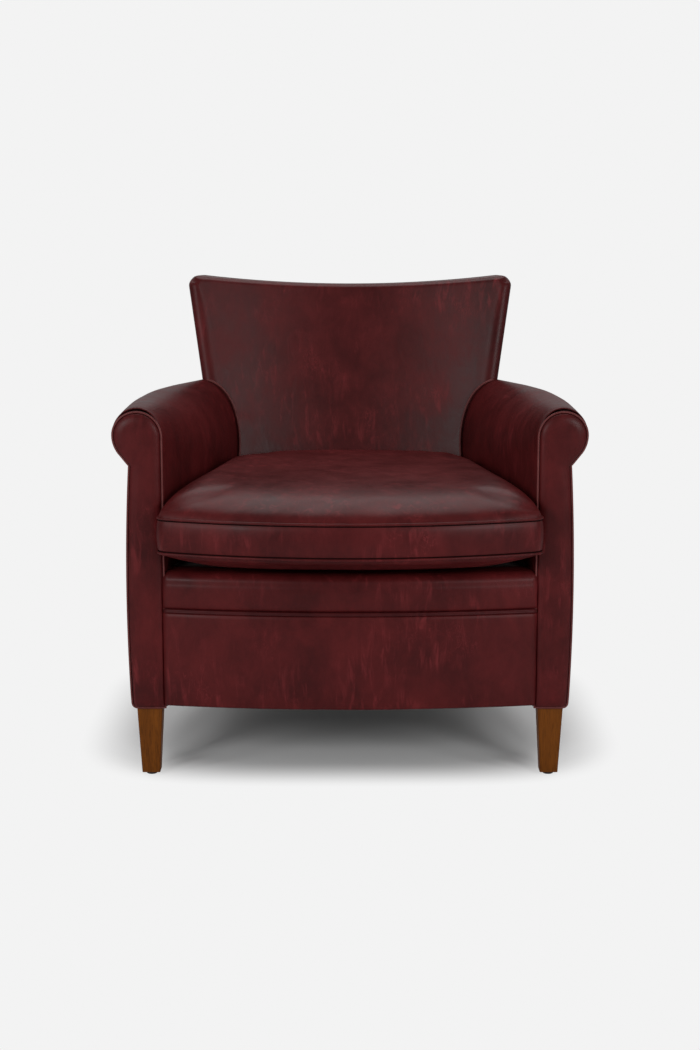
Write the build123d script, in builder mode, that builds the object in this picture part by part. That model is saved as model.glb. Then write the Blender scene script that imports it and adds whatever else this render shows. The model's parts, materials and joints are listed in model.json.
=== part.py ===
from build123d import *
import math
import os

# A low-backed roll-arm easy chair in leather with one loose, piped seat cushion.
# Millimetres. Z is up, the chair faces -Y, and X = 0 is its middle. The origin is on the floor,
# under the middle of the chair's box. Left is -X, as seen by someone who stands in front.
# Depths are measured back from the plane of the arm fronts.

# Driving dimensions of the whole chair
overall_width = 772
overall_depth = 760
overall_height = 803
cushion_lead = 104
arm_height = 622
shell_bottom = 122
frame_bottom = 126
deck_height = 352
rail_top = 298
arm_front_y = cushion_lead - overall_depth / 2

# Leather, cloth and small clearances
leather = 2
cloth = 1.2
piping = 6
overrun = 20
clearance = 0.3

# Arms: a roll that turns in towards the back, over a face that closes in at a steady slope
arm_length = 590
arm_station_shares = (0, 0.17, 0.34, 0.49, 0.63, 0.75, 0.87, 1)
seat_width_front = 612
arm_splay = 0.2125
ridge_x = 345.5
roll_radius = overall_width / 2 - ridge_x
ridge_pull = 151
ridge_pull_power = 2.5
ridge_straight_share = 0.186
arm_drop = 7.5
shoulder_front = 577
shoulder_drop = 110
shoulder_power = 0.8
roll_middle = 577
roll_under = 544.6
roll_under_share = 0.52
neck_height = 527.5
outer_x = 363
outer_pull = 88
outer_pull_power = 2.2
outer_bow = 3
outer_bow_height = 390
outer_corner = 8
least_overhang = 3
facing_thickness = 8
facing_pillow = 5
facing_recess = 1
arm_padding = 22
arm_lining = 9

# Back: a reclined slab, concave in plan, cut to a flared outline with a dipped top
back_front_foot = 382
back_front_lean = 12.6
back_rear_foot = 555
back_rear_lean = 7.2
back_front_radius = 662
back_rear_radius = 1007
back_half_width = 281
back_knee = 600
back_flare = 30
back_corner_height = 809
back_top_middle = 786
back_corner_radius = 38
back_knee_radius = 220
back_edge_roll = 18
back_frame = 35
back_frame_edge = piping
back_frame_width = 37

# Front border and apron: bowed forward in plan
bow_depth = -26
bow_radius = 1686
border_foot = 290.5
welt_height = 7
welt_proud = 2.5
apron_foot = 125
apron_padding = 8
border_roll = 18
border_return = 50
roll_depth = 60

# Seat frame
rail_thickness = 28
side_rail_thickness = 25
post_inner_x = 328
post_outer_x = 353
post_front = 8
side_rail_rear_x = 247
arm_rail_thickness = 25
arm_rail_drop = 56
arm_rail_rear_x = 248
tack_rail_gap = 4
tack_rail_height = 36
tack_rail_thickness = 24
tack_rail_front_x = 319
tack_rail_rear_x = 232
block_height = 50
block_leg = 100
front_block_x = 335
front_block_depth = 20
rear_block_x = 260
rear_block_depth = 525
rail_joint_depth = 500
rail_end_depth = 530
tack_rail_end_depth = 545
arm_rail_end_depth = 565
rail_start_depth = 50
post_top_height = 737

# Legs and glides
glide_height = 5.5
glide_radius = 9
glide_round_share = 0.3
leg_top_side = 43
leg_foot_side = 30
front_leg_top_x = 333.5
front_leg_foot_x = 333.6
front_leg_top_depth = 31.5
front_leg_foot_depth = 30
rear_leg_top_side = 40
rear_leg_foot_side = 29
rear_leg_x = 255.5
rear_leg_top_depth = 513
rear_leg_foot_depth = 541
leg_edge_radius = 2.5
bolt_radius = 4
bolt_length = 80
front_bolt_x = 338
front_bolt_depth = 30
rear_bolt_x = 256.5
rear_bolt_depth = 516.5

# Springs, webbing and deck
spring_count = 5
spring_spacing = 92
spring_wire = 3.6
spring_half_width = 23
spring_bars = 20
spring_height = 302.5
spring_front = 24
spring_rear = 19.5
clip_width = 34
clip_length = 14
clip_height = 9
hessian_front = 14
web_strips = 4
web_spacing = 100
web_width = 50
web_thickness = 2
web_low = 360
web_high = 770
deck_cover_rear = 38.5
pad_low = 308.5

# Loose cushion
cushion_side_gap = 2.8
cushion_back_gap = 9
cushion_apex = -102
cushion_corner_depth = -45
cushion_rear_half = 212.7
cushion_pull = 5
cushion_front_corner = 22
cushion_rear_corner = 20
cushion_middle_depth = 180
seam_low = 393
seam_high = 450
crown_up = 36
crown_down = 38
crown_out_shares = (1, 0.985, 0.945, 0.87, 0.74, 0.55, 0.3)
crown_up_shares = (0, 0.3, 0.57, 0.79, 0.92, 0.985, 1)
piping_height = 5
piping_depth = 5
piping_proud = 2
welt_corner_share = 0.45
rounding_turns = (0, 22.5, 45, 67.5, 90)
welt_round_share = 0.9
zip_half_length = 170
zip_height = 26
teeth_height = 5
teeth_proud = 1.5
slider_height = 10
slider_length = 14
slider_wall = 1.2
pull_length = 16
pull_width = 7

os.makedirs("parts", exist_ok=True)


def write_node(piece, name):
    """Label a finished piece and write it as its own file."""
    piece.part.label = name
    export_step(piece.part, f"parts/{name}.step")


def at_depth(depth):
    """The Y of a point that lies so far behind the arm fronts."""
    return arm_front_y + depth


def sag(x, radius):
    """How far a circle of this radius has fallen away at x."""
    return radius - math.sqrt(radius * radius - x * x)


def inner_x(depth):
    """The arm's inner face, which closes in steadily towards the back."""
    return seat_width_front / 2 - arm_splay * depth


def ridge(depth):
    """The top line of the roll, straight at first and then turning in."""
    straight = ridge_straight_share * arm_length
    turned = max(0, depth - straight) / (arm_length - straight)
    return ridge_x - ridge_pull * turned**ridge_pull_power


def outer_face(depth):
    """The arm's outer face below the roll."""
    return outer_x - outer_pull * (depth / arm_length) ** outer_pull_power


def arm_profile(depth, inset=0, open_foot=False):
    """The right arm's upright section, lines and arcs, drawn in by the inset."""
    inside = inner_x(depth) + inset
    top = arm_height - arm_drop * depth / arm_length - inset
    shoulder = shoulder_front - shoulder_drop * (depth / arm_length) ** shoulder_power
    neck = outer_face(depth) - outer_bow
    roll = max(ridge(depth) + roll_radius, outer_face(depth) + least_overhang)
    under = neck + (roll - neck) * roll_under_share
    foot = outer_face(depth) - inset
    low = shell_bottom - overrun if open_foot else shell_bottom + inset
    corner = outer_corner + (shell_bottom if open_foot else low)
    with BuildSketch(Plane.XZ.offset(-at_depth(depth))) as profile:
        with BuildLine():
            Line((inside, low), (inside, shoulder))
            EllipticalCenterArc(
                (ridge(depth), shoulder), ridge(depth) - inside, top - shoulder, 180, arc_size=-90
            )
            EllipticalCenterArc(
                (ridge(depth), roll_middle), roll - inset - ridge(depth), top - roll_middle, 90, arc_size=-90
            )
            TangentArc((roll - inset, roll_middle), (under - inset, roll_under), tangent=(0, -1))
            Line((under - inset, roll_under), (neck - inset, neck_height))
            ThreePointArc(
                (neck - inset, neck_height),
                (foot + outer_bow, outer_bow_height),
                (foot, corner),
            )
            if open_foot:
                Line((foot, corner), (foot, low))
                Line((foot, low), (inside, low))
            else:
                RadiusArc((foot, corner), (foot - outer_corner, low), outer_corner)
                Line((foot - outer_corner, low), (inside, low))
        make_face()
    return profile.sketch


def arm_body(inset=0, open_foot=False):
    """The right arm from behind its facing to the back, as one soft form."""
    run = arm_length - facing_thickness
    depths = [facing_thickness + share * run for share in arm_station_shares]
    with BuildPart() as body:
        loft([arm_profile(depth, inset, open_foot) for depth in depths])
    return body.part


def facing_form(front, inset, radius):
    """The arm's section as a flat panel that starts at its facing plane and rounds off to its front."""
    with BuildPart() as panel:
        sections = [arm_profile(facing_thickness, inset)]
        for turn in rounding_turns:
            depth = front + radius * (1 - math.sin(math.radians(turn)))
            drawn = inset + radius * (1 - math.cos(math.radians(turn)))
            section = arm_profile(facing_thickness, drawn)
            sections.append(section.moved(Location((0, depth - facing_thickness, 0))))
        loft(sections, ruled=True)
    return panel.part


def arm_box(inner, outer, low, high):
    """A space along the arm, between two lines in plan that are given as functions of depth."""
    run = arm_length + overrun
    with BuildPart() as space:
        sections = []
        for share in arm_station_shares:
            depth = share * run
            with BuildSketch(Plane.XZ.offset(-at_depth(depth))) as section:
                with BuildLine():
                    Polyline(
                        (inner(depth), low),
                        (outer(depth), low),
                        (outer(depth), high),
                        (inner(depth), high),
                        close=True,
                    )
                make_face()
            sections.append(section.sketch)
        loft(sections)
    return space.part


def front_of_back(shift=0):
    """The back's front surface: foot depth, lean and radius, moved into the back by the shift."""
    return back_front_foot, back_front_lean, back_front_radius, shift


def rear_of_back(shift=0):
    """The back's rear surface, moved in towards the front by the shift."""
    return back_rear_foot, back_rear_lean, back_rear_radius, -shift


def back_side(surface, reach, half_width=back_half_width + 3 * overrun):
    """All that lies behind a leaning round surface of the back, or before it with a negative reach."""
    foot, lean, radius, shift = surface
    tilt = math.radians(lean)
    plane = Plane(
        origin=(0, at_depth(foot), 0), x_dir=(1, 0, 0), z_dir=(0, math.sin(tilt), math.cos(tilt))
    )
    end = shift - sag(half_width, radius + shift)
    with BuildPart() as side:
        with BuildSketch(plane):
            with BuildLine():
                ThreePointArc((-half_width, end), (0, shift), (half_width, end))
                Polyline((half_width, end), (half_width, reach), (-half_width, reach), (-half_width, end))
            make_face()
        extrude(amount=overall_height + 5 * overrun, both=True)
    return side.part


def back_slab(front, rear):
    """The upholstered back before it is cut to its outline: reclined, and concave in plan."""
    with BuildPart() as slab:
        add(back_side(front, overall_depth))
        add(back_side(rear, -overall_depth), mode=Mode.INTERSECT)
    return slab.part


def back_outline(inset, low):
    """The back seen from the front: upright sides that flare above the arms, and a dipped top."""
    top_half = back_half_width + back_flare
    with BuildSketch(Plane.XZ) as outline:
        with BuildLine():
            Polyline(
                (-top_half, back_corner_height),
                (-back_half_width, back_knee),
                (-back_half_width, low - inset),
                (back_half_width, low - inset),
                (back_half_width, back_knee),
                (top_half, back_corner_height),
            )
            ThreePointArc(
                (top_half, back_corner_height), (0, back_top_middle), (-top_half, back_corner_height)
            )
        make_face()
        fillet(outline.vertices().sort_by(Axis.Y)[-2:], back_corner_radius)
        fillet([v for v in outline.vertices() if abs(v.Y - back_knee) < overrun], back_knee_radius)
        if inset:
            offset(amount=-inset, mode=Mode.REPLACE)
    return outline.sketch


def back_block(front, rear, inset=0, low=shell_bottom, roll=0):
    """A layer of the back between two of its surfaces, inside the outline, with a rolled front edge."""
    with BuildPart() as block:
        add(back_slab(front, rear))
        extrude(back_outline(inset, low), amount=overall_depth, both=True, mode=Mode.INTERSECT)
        if roll:
            face = block.faces().sort_by(SortBy.AREA)[-2:].sort_by(Axis.Y)[0]
            fillet([edge for edge in face.edges() if edge.center().Z > low + overrun], roll)
    return block.part


def bow_y(x):
    """The Y of the bowed front of the seat border."""
    return at_depth(bow_depth) + sag(x, bow_radius)


def bow_band(front, rear, low, high, half_width=post_inner_x):
    """An upright band behind the bowed front, between two depths behind its face."""
    with BuildPart() as band:
        with BuildSketch(Plane.XY.offset(low)):
            with BuildLine():
                end = bow_y(half_width)
                ThreePointArc(
                    (-half_width, end + front), (0, at_depth(bow_depth) + front), (half_width, end + front)
                )
                Line((half_width, end + front), (half_width, end + rear))
                ThreePointArc(
                    (half_width, end + rear), (0, at_depth(bow_depth) + rear), (-half_width, end + rear)
                )
                Line((-half_width, end + rear), (-half_width, end + front))
            make_face()
        extrude(amount=high - low)
    return band.part


def plank(front_depth, rear_depth, front_x, rear_x, width, low, high):
    """A straight board of the right side, seen from above as a four-sided strip."""
    with BuildPart() as board:
        with BuildSketch(Plane.XY.offset(low)):
            with BuildLine():
                Polyline(
                    (front_x, at_depth(front_depth)),
                    (front_x + width, at_depth(front_depth)),
                    (rear_x + width, at_depth(rear_depth)),
                    (rear_x, at_depth(rear_depth)),
                    close=True,
                )
            make_face()
        extrude(amount=high - low)
    return board.part


def block_between(x_low, x_high, depth_low, depth_high, low, high):
    """A plain block between two places on each axis, with its Y given as depths."""
    with BuildPart() as block:
        with Locations(((x_low + x_high) / 2, at_depth((depth_low + depth_high) / 2), (low + high) / 2)):
            Box(x_high - x_low, depth_high - depth_low, high - low)
    return block.part


def write_pair(piece, name):
    """Write a right-hand piece and its mirrored left-hand twin."""
    write_node(piece, f"{name}_right")
    with BuildPart() as twin:
        mirror(piece.part, about=Plane.YZ)
    write_node(twin, f"{name}_left")


def seat_layer(front, rear_shift, low, high, spread=0):
    """A flat layer of the seat, from behind the bowed front to before the back's rear surface."""
    narrowing = (post_inner_x - side_rail_rear_x) / (rail_joint_depth - rail_start_depth)
    start = rail_start_depth - overall_depth / 2
    end = rail_start_depth + overall_depth
    wide = post_inner_x + spread + narrowing * overall_depth / 2
    narrow = post_inner_x + spread - narrowing * overall_depth
    with BuildPart() as layer:
        with BuildSketch(Plane.XY.offset(low)):
            with BuildLine():
                Polyline(
                    (-wide, at_depth(start)),
                    (wide, at_depth(start)),
                    (narrow, at_depth(end)),
                    (-narrow, at_depth(end)),
                    close=True,
                )
            make_face()
        extrude(amount=high - low)
        add(bow_band(front, overall_depth, low, high, post_inner_x + spread), mode=Mode.INTERSECT)
        add(back_side(rear_of_back(rear_shift), -overall_depth), mode=Mode.INTERSECT)
    return layer.part


def rolled_band(front, rear, low, high, radius, half_width):
    """A bowed band whose upper front edge is rolled over."""
    with BuildPart() as band:
        add(bow_band(front, rear, low, high, half_width))
        top = band.faces().sort_by(Axis.Z)[-1]
        fillet(top.edges().sort_by(Axis.Y)[0], radius)
    return band.part


def tapered_leg(x, depth, foot_x, foot_depth, top_side, foot_side):
    """A square leg that narrows to its foot."""
    with BuildPart() as leg:
        with BuildSketch(Plane.XY.offset(glide_height)):
            with Locations((foot_x, at_depth(foot_depth))):
                RectangleRounded(foot_side, foot_side, leg_edge_radius)
        with BuildSketch(Plane.XY.offset(frame_bottom)):
            with Locations((x, at_depth(depth))):
                RectangleRounded(top_side, top_side, leg_edge_radius)
        loft()
    return leg.part


def corner_block(x, depth, turn):
    """A three-sided glue block whose square corner lies at x and depth."""
    with BuildPart() as block:
        with BuildSketch(Plane.XY.offset(frame_bottom)):
            with BuildLine():
                Polyline(
                    (x, at_depth(depth)),
                    (x - block_leg, at_depth(depth)),
                    (x, at_depth(depth) + turn * block_leg),
                    close=True,
                )
            make_face()
        extrude(amount=block_height)
    return block.part


def cushion_outline(height, share=1, inset=0):
    """The cushion from above: bowed front, sides drawn in a little, and a rear that follows the back."""
    front_half = (inner_x(cushion_corner_depth) - cushion_side_gap) * share - inset
    rear_half = cushion_rear_half * share - inset
    front_apex = cushion_depth(cushion_apex, share) + inset
    front_corner = cushion_depth(cushion_corner_depth, share) + inset
    rear_apex = cushion_depth(cushion_rear_apex, share) - inset
    rear_corner = rear_apex - sag(rear_half, cushion_rear_radius * share - inset)
    waist = (front_half + rear_half) / 2 - cushion_pull * share
    middle = (front_corner + rear_corner) / 2
    with BuildSketch(Plane.XY.offset(height)) as outline:
        with BuildLine():
            ThreePointArc((-front_half, front_corner), (0, front_apex), (front_half, front_corner))
            ThreePointArc((front_half, front_corner), (waist, middle), (rear_half, rear_corner))
            ThreePointArc((rear_half, rear_corner), (0, rear_apex), (-rear_half, rear_corner))
            ThreePointArc((-rear_half, rear_corner), (-waist, middle), (-front_half, front_corner))
        make_face()
        fillet(outline.vertices().sort_by(Axis.Y)[:2], cushion_front_corner * share - inset)
        fillet(outline.vertices().sort_by(Axis.Y)[-2:], cushion_rear_corner * share - inset)
    return outline.sketch


def cushion_depth(depth, share):
    """The Y of a place on the cushion when its outline shrinks about its middle."""
    return at_depth(cushion_middle_depth + (depth - cushion_middle_depth) * share)


def cushion_layer(inset, low, high):
    """An upright-sided slice of the cushion."""
    with BuildPart() as layer:
        add(cushion_outline(low, inset=inset))
        extrude(amount=high - low)
    return layer.part


def cushion_dome(base, rise, inset=0):
    """The crowned upper or lower form of the cushion, from its base to its crown."""
    with BuildPart() as dome:
        loft(
            [
                cushion_outline(base + rise * up, out, inset)
                for out, up in zip(crown_out_shares, crown_up_shares)
            ],
            ruled=True,
        )
    return dome.part


def zip_band(inner, outer, half_length, low, high):
    """A strip on the cushion's rear curve, between two radii beyond or inside its face."""
    half_turn = math.degrees(half_length / cushion_rear_radius)
    centre = (0, at_depth(cushion_rear_apex) - cushion_rear_radius)
    with BuildPart() as band:
        with BuildSketch(Plane.XY.offset(low)):
            with BuildLine():
                far = CenterArc(centre, cushion_rear_radius + outer, 90 - half_turn, 2 * half_turn)
                near = CenterArc(centre, cushion_rear_radius + inner, 90 - half_turn, 2 * half_turn)
                Line(far @ 0, near @ 0)
                Line(far @ 1, near @ 1)
            make_face()
        extrude(amount=high - low)
    return band.part


# Values that follow from the driving dimensions
back_tan = math.tan(math.radians(back_front_lean))
cushion_rear_apex = back_front_foot + seam_low * back_tan - cushion_back_gap
cushion_rear_radius = back_front_radius - cushion_back_gap
band_half_width = inner_x(facing_thickness)
frame_middle = back_half_width - back_frame_edge - back_frame_width

# Spaces that several pieces share
back_space = back_block(front_of_back(), rear_of_back(), low=shell_bottom - overrun, roll=back_edge_roll)
behind_back = back_side(rear_of_back(), overall_depth, half_width=overall_width / 2 + overrun)
behind_skin = back_side(rear_of_back(leather), overall_depth, half_width=overall_width / 2 + overrun)
well_width = seat_width_front / 2
seat_well = plank(
    -overrun,
    arm_length + overrun,
    inner_x(-overrun) + arm_padding - well_width,
    inner_x(arm_length + overrun) + arm_padding - well_width,
    well_width,
    shell_bottom - overrun,
    deck_height,
)
arm_core = arm_box(
    lambda depth: inner_x(depth) + arm_padding,
    lambda depth: outer_face(depth) - arm_lining,
    shell_bottom - overrun,
    arm_height - arm_rail_drop,
)

# Wood frame: back posts and curved top rail, cut from one ring behind the back padding
with BuildPart() as back_ring:
    add(
        back_block(
            rear_of_back(back_frame + leather), rear_of_back(leather), back_frame_edge, frame_bottom
        )
    )
    add(
        back_block(
            rear_of_back(back_frame + leather + overrun),
            rear_of_back(-overrun),
            back_frame_edge + back_frame_width,
            frame_bottom - overrun,
        ),
        mode=Mode.SUBTRACT,
    )

with BuildPart() as back_post:
    add(back_ring.part)
    add(
        block_between(0, overall_width, 0, overall_depth, frame_bottom - overrun, post_top_height),
        mode=Mode.INTERSECT,
    )
with BuildPart() as back_top_rail:
    add(back_ring.part)
    add(
        block_between(-overall_width, overall_width, 0, overall_depth, post_top_height, overall_height),
        mode=Mode.INTERSECT,
    )
write_node(back_top_rail, "back_top_rail")


def rear_rail(low, high):
    """A curved rail between the back posts."""
    with BuildPart() as rail:
        add(back_slab(rear_of_back(back_frame + leather), rear_of_back(leather)))
        add(block_between(-frame_middle, frame_middle, 0, overall_depth, low, high), mode=Mode.INTERSECT)
    return rail.part


with BuildPart() as rear_seat_rail:
    add(rear_rail(frame_bottom, rail_top))
with BuildPart() as back_tack_rail:
    add(rear_rail(deck_height + tack_rail_gap, deck_height + tack_rail_gap + tack_rail_height))
write_node(rear_seat_rail, "rear_seat_rail")
write_node(back_tack_rail, "back_tack_rail")

# Wood frame: rails and posts of the seat and arms
rail_front = leather + apron_padding
with BuildPart() as front_seat_rail:
    add(bow_band(rail_front, rail_front + rail_thickness, frame_bottom, rail_top))
write_node(front_seat_rail, "front_seat_rail")

arm_rail_top = arm_height - arm_rail_drop
with BuildPart() as front_post:
    add(
        block_between(
            post_inner_x, post_outer_x, facing_thickness, rail_start_depth, frame_bottom, arm_rail_top
        )
    )


def slanted_rail(front_x, rear_x, width, end_depth, low, high):
    """A straight rail from the front post to the back post, cut off where it meets the back's wood."""
    narrowing = (front_x - rear_x) / (rail_joint_depth - rail_start_depth)
    with BuildPart() as rail:
        end_x = front_x - narrowing * (end_depth - rail_start_depth)
        add(plank(rail_start_depth, end_depth, front_x, end_x, width, low, high))
        for neighbour in (back_post, back_tack_rail, rear_seat_rail):
            add(neighbour.part, mode=Mode.SUBTRACT)
    return rail.part


with BuildPart() as side_seat_rail:
    add(
        slanted_rail(
            post_inner_x, side_rail_rear_x, side_rail_thickness, rail_end_depth, frame_bottom, rail_top
        )
    )
write_pair(side_seat_rail, "side_seat_rail")
with BuildPart() as arm_top_rail:
    add(
        slanted_rail(
            post_inner_x,
            arm_rail_rear_x,
            arm_rail_thickness,
            arm_rail_end_depth,
            arm_rail_top - arm_rail_thickness,
            arm_rail_top,
        )
    )
write_pair(arm_top_rail, "arm_top_rail")
tack_low = deck_height + tack_rail_gap
with BuildPart() as arm_tack_rail:
    add(
        slanted_rail(
            tack_rail_front_x,
            tack_rail_rear_x,
            tack_rail_thickness,
            tack_rail_end_depth,
            tack_low,
            tack_low + tack_rail_height,
        )
    )
write_pair(arm_tack_rail, "arm_tack_rail")

with BuildPart() as front_block:
    add(corner_block(front_block_x, front_block_depth, 1))
    for neighbour in (front_seat_rail, front_post, side_seat_rail):
        add(neighbour.part, mode=Mode.SUBTRACT)
with BuildPart() as rear_block:
    add(corner_block(rear_block_x, rear_block_depth, -1))
    for neighbour in (rear_seat_rail, back_post, side_seat_rail):
        add(neighbour.part, mode=Mode.SUBTRACT)
with BuildPart() as corner_blocks:
    add(front_block.part)
    add(rear_block.part)
    mirror(about=Plane.YZ)
write_node(corner_blocks, "corner_blocks")

# Legs, the bolts that hold them, and the glides under their feet
bolt_places = (
    (front_bolt_x, at_depth(front_bolt_depth)),
    (rear_bolt_x, at_depth(rear_bolt_depth)),
)
with BuildPart() as bolt_pair:
    with BuildSketch(Plane.XY.offset(frame_bottom - bolt_length / 2)):
        with Locations(*bolt_places):
            Circle(bolt_radius)
    extrude(amount=bolt_length)
with BuildPart() as front_leg:
    add(
        tapered_leg(
            front_leg_top_x,
            front_leg_top_depth,
            front_leg_foot_x,
            front_leg_foot_depth,
            leg_top_side,
            leg_foot_side,
        )
    )
    add(bolt_pair.part, mode=Mode.SUBTRACT)
with BuildPart() as rear_leg:
    add(
        tapered_leg(
            rear_leg_x,
            rear_leg_top_depth,
            rear_leg_x,
            rear_leg_foot_depth,
            rear_leg_top_side,
            rear_leg_foot_side,
        )
    )
    add(bolt_pair.part, mode=Mode.SUBTRACT)
write_pair(front_leg, "front_leg")
write_pair(rear_leg, "rear_leg")
with BuildPart() as bored_front_post:
    add(front_post.part)
    add(bolt_pair.part, mode=Mode.SUBTRACT)
with BuildPart() as bored_back_post:
    add(back_post.part)
    add(bolt_pair.part, mode=Mode.SUBTRACT)
write_pair(bored_front_post, "front_post")
write_pair(bored_back_post, "back_post")
with BuildPart() as hanger_bolts:
    add(bolt_pair.part)
    mirror(about=Plane.YZ)
write_node(hanger_bolts, "hanger_bolts")
with BuildPart() as leg_glides:
    with BuildSketch():
        with Locations(
            (front_leg_foot_x, at_depth(front_leg_foot_depth)), (rear_leg_x, at_depth(rear_leg_foot_depth))
        ):
            Circle(glide_radius)
    extrude(amount=glide_height)
    fillet(leg_glides.edges().group_by(Axis.Z)[0], glide_height * glide_round_share)
    mirror(about=Plane.YZ)
write_node(leg_glides, "leg_glides")

# Springs, their clips, the hessian over them and the webbing behind the back
spring_places = [(place - (spring_count - 1) / 2) * spring_spacing for place in range(spring_count)]


def spring_ends(x):
    """The Y of the first and last bars of the spring at x."""
    front = bow_y(x) + spring_front
    foot, lean, radius, shift = rear_of_back(spring_rear)
    rear = at_depth(foot) + spring_height * math.tan(math.radians(lean)) + shift - sag(x, radius)
    return front, rear


clips = []
for number, x in enumerate(spring_places, start=1):
    front, rear = spring_ends(x)
    pitch = (rear - front) / (spring_bars - 1)
    with BuildPart() as spring:
        with BuildLine(Plane.XY.offset(spring_height)) as wire:
            side = -1
            for bar in range(spring_bars):
                y = front + bar * pitch
                Line((x + side * spring_half_width, y), (x - side * spring_half_width, y))
                side = -side
                if bar < spring_bars - 1:
                    ThreePointArc(
                        (x + side * spring_half_width, y),
                        (x + side * (spring_half_width + pitch / 2), y + pitch / 2),
                        (x + side * spring_half_width, y + pitch),
                    )
        with BuildSketch(Plane(origin=wire.line @ 0, z_dir=wire.line % 0)):
            Circle(spring_wire / 2)
        sweep()
    write_node(spring, f"seat_spring_{number}")
    clips.append((x, front))
    clips.append((x, rear))
with BuildPart() as spring_clips:
    with BuildSketch(Plane.XY.offset(rail_top)):
        with Locations(*clips):
            Rectangle(clip_width, clip_length)
    extrude(amount=clip_height)
    for x, y in clips:
        with BuildSketch(Plane.YZ.offset(x - clip_width)):
            with Locations((y, spring_height)):
                Circle(spring_wire / 2 + clearance)
        extrude(amount=2 * clip_width, mode=Mode.SUBTRACT)
write_node(spring_clips, "spring_clips")

with BuildPart() as hessian:
    add(
        seat_layer(
            hessian_front, spring_rear, rail_top + clip_height, rail_top + clip_height + cloth
        )
    )
    add(back_ring.part, mode=Mode.SUBTRACT)
write_node(hessian, "hessian")
with BuildPart() as back_webbing:
    add(
        back_slab(
            rear_of_back(back_frame + leather + web_thickness), rear_of_back(back_frame + leather)
        )
    )
    with BuildPart(mode=Mode.PRIVATE) as strips:
        with Locations((0, 0, (web_low + web_high) / 2)):
            with GridLocations(web_spacing, web_spacing, web_strips, 1):
                Box(web_width, 2 * overall_depth, web_high - web_low)
    add(strips.part, mode=Mode.INTERSECT)
write_node(back_webbing, "back_webbing")

# Seat: padding, deck cover, rolled front border, double welt and apron
with BuildPart() as deck_pad:
    add(seat_layer(roll_depth, deck_cover_rear, pad_low, deck_height - leather))
write_node(deck_pad, "deck_pad")
with BuildPart() as deck_cover:
    add(seat_layer(border_return, deck_cover_rear, deck_height - leather, deck_height))
write_node(deck_cover, "deck_cover")
with BuildPart() as front_edge_roll:
    add(
        rolled_band(
            leather, roll_depth, pad_low, deck_height - leather, border_roll - leather, band_half_width
        )
    )
    add(bow_band(leather, rail_front, border_foot, pad_low, band_half_width))
write_node(front_edge_roll, "front_edge_roll")
with BuildPart() as front_border:
    add(rolled_band(0, border_return, border_foot, deck_height, border_roll, band_half_width))
    add(
        rolled_band(
            leather,
            border_return + overrun,
            border_foot - overrun,
            deck_height - leather,
            border_roll - leather,
            band_half_width + overrun,
        ),
        mode=Mode.SUBTRACT,
    )
write_node(front_border, "front_border")
welt_foot = border_foot - welt_height
with BuildPart() as double_welt:
    for low in (welt_foot, welt_foot + welt_height / 2):
        with BuildPart(mode=Mode.PRIVATE) as bead:
            add(bow_band(-welt_proud, rail_front - leather, low, low + welt_height / 2, band_half_width))
            face = bead.faces().sort_by(Axis.Y)[0]
            fillet(face.edges().filter_by(GeomType.CIRCLE), welt_height / 4 * welt_round_share)
        add(bead.part)
write_node(double_welt, "double_welt")
with BuildPart() as apron_pad:
    add(bow_band(leather, rail_front, apron_foot + leather, welt_foot, band_half_width))
write_node(apron_pad, "apron_pad")
with BuildPart() as front_apron:
    add(bow_band(0, leather, apron_foot, welt_foot, band_half_width))
write_node(front_apron, "front_apron")
with BuildPart() as dust_cover:
    add(
        seat_layer(
            rail_front,
            leather + clearance,
            frame_bottom - cloth,
            frame_bottom,
            side_rail_thickness - leather,
        )
    )
    for leg_x, leg_depth, side in (
        (front_leg_top_x, front_leg_top_depth, leg_top_side),
        (rear_leg_x, rear_leg_top_depth, rear_leg_top_side),
    ):
        for hand in (-1, 1):
            with Locations((hand * leg_x, at_depth(leg_depth), frame_bottom)):
                Box(side + leather, side + leather, frame_bottom / 2, mode=Mode.SUBTRACT)
write_node(dust_cover, "dust_cover")

# Arms: padding, leather, and the welted facing in front
with BuildPart() as arm_space:
    add(arm_body(leather, open_foot=True))
    add(back_space, mode=Mode.SUBTRACT)
    add(behind_skin, mode=Mode.SUBTRACT)
with BuildPart() as arm_shell:
    add(arm_body())
    for taken in (arm_space.part, back_space, behind_back, seat_well):
        add(taken, mode=Mode.SUBTRACT)
with BuildPart() as outer_half:
    add(
        plank(
            -overrun,
            arm_length + overrun,
            (inner_x(-overrun) + outer_x) / 2,
            (inner_x(arm_length + overrun) + outer_face(arm_length)) / 2,
            overall_width / 2,
            shell_bottom - overrun,
            neck_height,
        )
    )
with BuildPart() as outside_arm_cover:
    add(arm_shell.part)
    add(outer_half.part, mode=Mode.INTERSECT)
with BuildPart() as inside_arm_cover:
    add(arm_shell.part)
    add(outer_half.part, mode=Mode.SUBTRACT)
write_pair(outside_arm_cover, "outside_arm_cover")
write_pair(inside_arm_cover, "inside_arm_cover")
with BuildPart() as arm_pad:
    add(arm_space.part)
    add(arm_core, mode=Mode.SUBTRACT)
    add(seat_well, mode=Mode.SUBTRACT)
    add(
        block_between(0, overall_width, -overrun, overall_depth, 0, frame_bottom),
        mode=Mode.SUBTRACT,
    )
write_pair(arm_pad, "arm_pad")
with BuildPart() as arm_facing:
    add(facing_form(facing_recess, piping, facing_pillow))
write_pair(arm_facing, "arm_facing")
with BuildPart() as facing_welt:
    add(facing_form(0, 0, piping * welt_corner_share))
    with BuildSketch(Plane.XZ.offset(-at_depth(facing_thickness))):
        add(arm_profile(facing_thickness, piping))
    extrude(amount=facing_thickness, mode=Mode.SUBTRACT)
write_pair(facing_welt, "facing_welt")

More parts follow.
